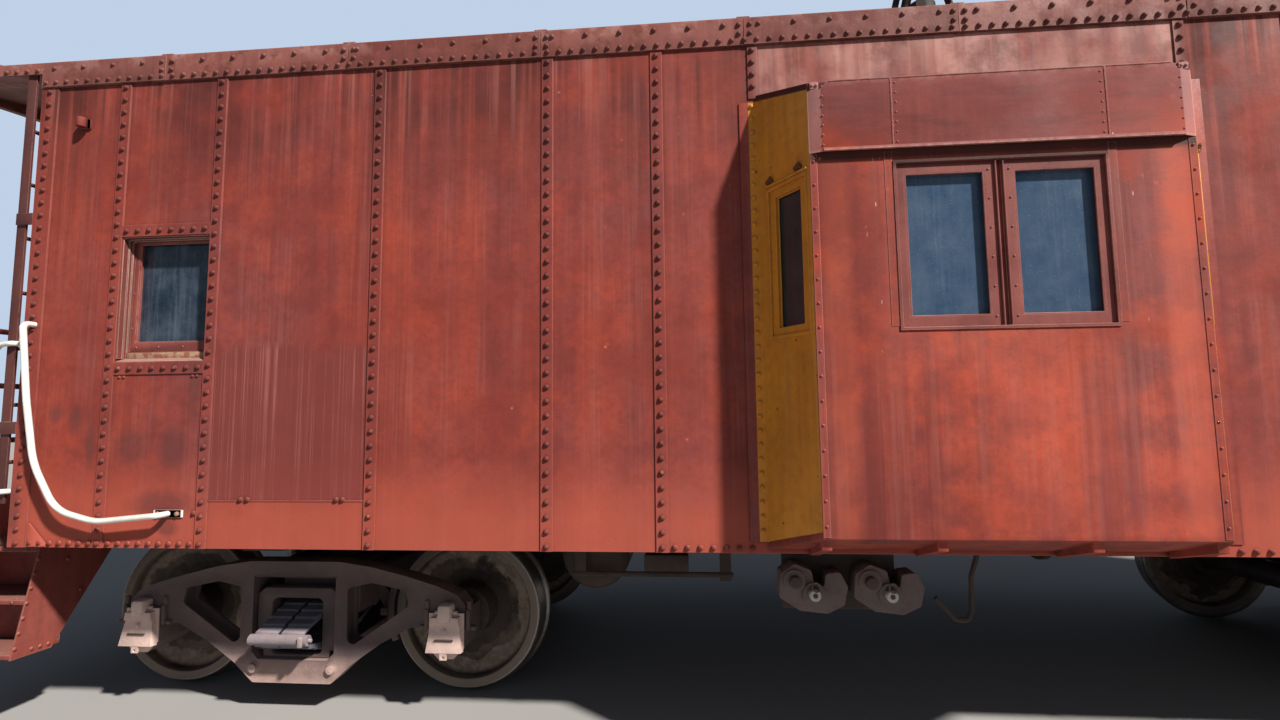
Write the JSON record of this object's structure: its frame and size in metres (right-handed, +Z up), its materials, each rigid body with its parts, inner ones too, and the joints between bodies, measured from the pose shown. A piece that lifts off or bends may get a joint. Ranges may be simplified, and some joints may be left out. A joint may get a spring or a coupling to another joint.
{
  "type": "bay-window caboose",
  "caption": "Steel railway caboose with riveted sides, bay windows, arched roof, end platforms with steps and railings, and leaf-sprung trucks.",
  "frame": {"origin": "middle of the car at the level of the wheel flanges' lowest points", "axes": "+X along the car towards end B, +Y across it away from the pictured side, +Z up"},
  "size_m": [11.3854, 3.556, 4.24],
  "materials": {
    "body_paint": "chalky oxide red paint over steel sheet",
    "roof_paint": "faded oxide red paint",
    "bay_yellow": "mustard yellow paint",
    "sash_paint": "maroon paint over wood and steel",
    "door_paint": "oxide red paint",
    "window_glass": "dusty glass",
    "platform_paint": "worn oxide red paint",
    "ladder_paint": "maroon paint",
    "white_paint": "gloss white paint",
    "underframe_steel": "black paint under dust and grease",
    "truck_steel": "cast steel under brown dust",
    "spring_steel": "dusty leaf springs",
    "wheel_steel": "rusted and greasy rolled steel",
    "coupler_steel": "rusted cast steel",
    "stove_iron": "black iron",
    "floor_wood": "worn boards",
    "cabin_paint": "pale green cabin paint",
    "seat_cover": "dark seat cover"
  },
  "bodies": {
    "car": {"air_reservoir": "underframe_steel", "bay_cheeks": "bay_yellow", "bay_fronts": "body_paint", "bay_hoods": "body_paint", "bay_seats": "seat_cover", "bay_window_frames": "sash_paint", "body_bolsters": "underframe_steel", "brake_cylinder": "underframe_steel", "brake_rods": "underframe_steel", "brake_valve": "underframe_steel", "centre_sill": "underframe_steel", "cheek_window_frames": "bay_yellow", "corner_grab_irons": "white_paint", "couplers": "coupler_steel", "cross_bearers": "underframe_steel", "end_railings": "platform_paint", "end_wall_a": "body_paint", "end_wall_b": "body_paint", "floor": "floor_wood", "hand_brakes": "underframe_steel", "hooked_rod": "underframe_steel", "knuckle_rack": "underframe_steel", "ladder_rungs": "ladder_paint", "ladders": "ladder_paint", "lockers": "cabin_paint", "marker_brackets": "body_paint", "platforms": "platform_paint", "roof": "roof_paint", "side_grab_irons": "white_paint", "side_sills": "underframe_steel", "side_wall_far": "body_paint", "side_wall_near": "body_paint", "smoke_jack": "stove_iron", "spare_knuckles": "coupler_steel", "step_risers": "platform_paint", "step_treads": "platform_paint", "steps": "platform_paint", "stove": "stove_iron", "uncoupling_levers": "underframe_steel", "window_frames": "sash_paint", "window_glass": "window_glass"},
    "door_a": {"door_glass_a": "window_glass", "end_door_a": "door_paint"},
    "door_b": {"door_glass_b": "window_glass", "end_door_b": "door_paint"},
    "truck_a": {"truck_a_bolster": "truck_steel", "truck_a_brakes": "truck_steel", "truck_a_cross_members": "truck_steel", "truck_a_side_frames": "truck_steel", "truck_a_springs": "spring_steel"},
    "truck_b": {"truck_b_bolster": "truck_steel", "truck_b_brakes": "truck_steel", "truck_b_cross_members": "truck_steel", "truck_b_side_frames": "truck_steel", "truck_b_springs": "spring_steel"},
    "axle_a_1": {"wheelset_a_1": "wheel_steel"},
    "axle_a_2": {"wheelset_a_2": "wheel_steel"},
    "axle_b_1": {"wheelset_b_1": "wheel_steel"},
    "axle_b_2": {"wheelset_b_2": "wheel_steel"}
  },
  "joints": [
    {"name": "truck_a_swivel", "type": "hinge", "parent": "car", "child": "truck_a", "pos_m": [-3.353, 0, 0.712], "axis": [0, 0, 1], "range_deg": [-5, 5]},
    {"name": "truck_b_swivel", "type": "hinge", "parent": "car", "child": "truck_b", "pos_m": [3.353, 0, 0.712], "axis": [0, 0, 1], "range_deg": [-5, 5]},
    {"name": "axle_a_1_spin", "type": "hinge", "parent": "truck_a", "child": "axle_a_1", "pos_m": [-4.191, 0, 0.4444], "axis": [0, 1, 0], "continuous": true},
    {"name": "axle_a_2_spin", "type": "hinge", "parent": "truck_a", "child": "axle_a_2", "pos_m": [-2.515, 0, 0.4444], "axis": [0, 1, 0], "continuous": true},
    {"name": "axle_b_1_spin", "type": "hinge", "parent": "truck_b", "child": "axle_b_1", "pos_m": [2.515, 0, 0.4444], "axis": [0, 1, 0], "continuous": true},
    {"name": "axle_b_2_spin", "type": "hinge", "parent": "truck_b", "child": "axle_b_2", "pos_m": [4.191, 0, 0.4444], "axis": [0, 1, 0], "continuous": true},
    {"name": "door_a_hinge", "type": "hinge", "parent": "car", "child": "door_a", "pos_m": [-4.487, 0.38, 1.13], "axis": [0, 0, 1], "range_deg": [0, 95]},
    {"name": "door_b_hinge", "type": "hinge", "parent": "car", "child": "door_b", "pos_m": [4.487, -0.38, 1.13], "axis": [0, 0, 1], "range_deg": [0, 95]}
  ]
}
